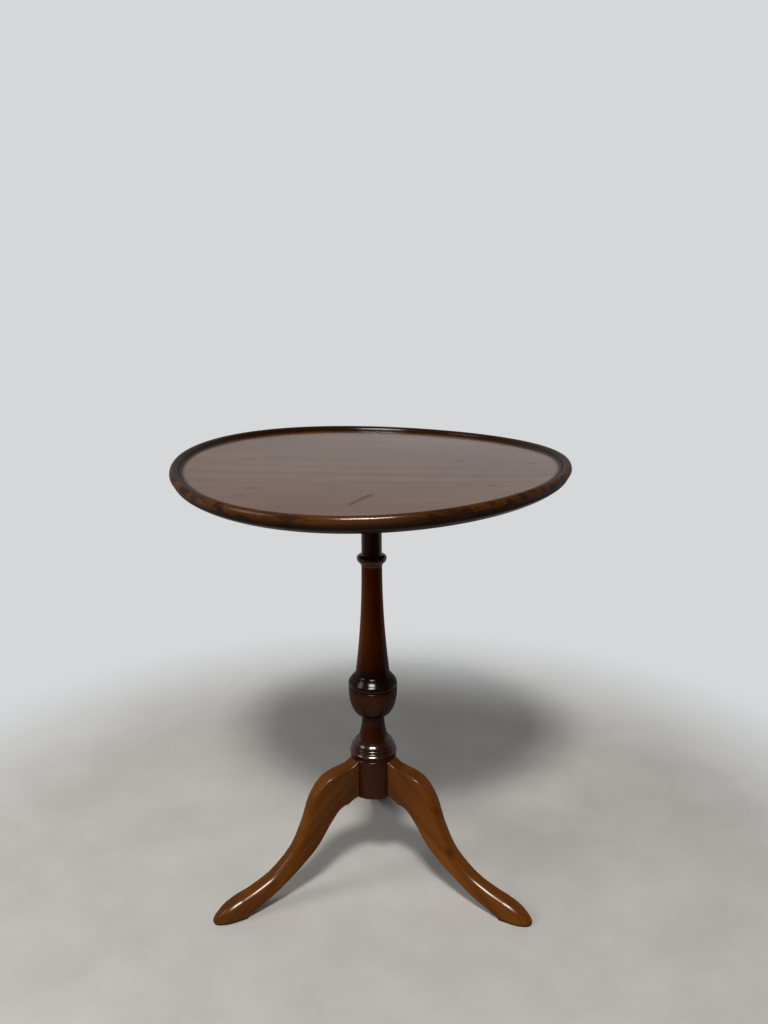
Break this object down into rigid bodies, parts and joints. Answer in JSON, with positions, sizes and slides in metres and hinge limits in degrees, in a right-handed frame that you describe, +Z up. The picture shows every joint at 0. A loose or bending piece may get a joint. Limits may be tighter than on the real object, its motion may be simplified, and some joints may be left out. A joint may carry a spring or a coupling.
{
  "type": "wine table",
  "caption": "Small round occasional table with a dished, rimmed top on a turned column with an urn, standing on cabriole legs with pad feet.",
  "frame": {"origin": "on the floor, under the axis of the column", "axes": "+Z up along the column, +Y towards the back leg, +X to the right as seen from the front between the other two legs"},
  "size_m": [0.4534, 0.4534, 0.5403],
  "materials": {
    "top_mahogany": "satin polish",
    "column_mahogany": "satin polish",
    "leg_mahogany": "satin polish",
    "block_wood": "bare",
    "wedge_wood": "bare",
    "screw_steel": "dull"
  },
  "bodies": {
    "root": {"top": "top_mahogany", "top_block": "block_wood", "column": "column_mahogany", "tenon_wedge": "wedge_wood", "leg_back": "leg_mahogany", "leg_left": "leg_mahogany", "leg_right": "leg_mahogany", "tie_plate": "screw_steel", "block_screw_1": "screw_steel", "block_screw_2": "screw_steel", "block_screw_3": "screw_steel", "block_screw_4": "screw_steel", "plate_screw_centre": "screw_steel", "plate_screw_back": "screw_steel", "plate_screw_left": "screw_steel", "plate_screw_right": "screw_steel"}
  },
  "joints": []
}
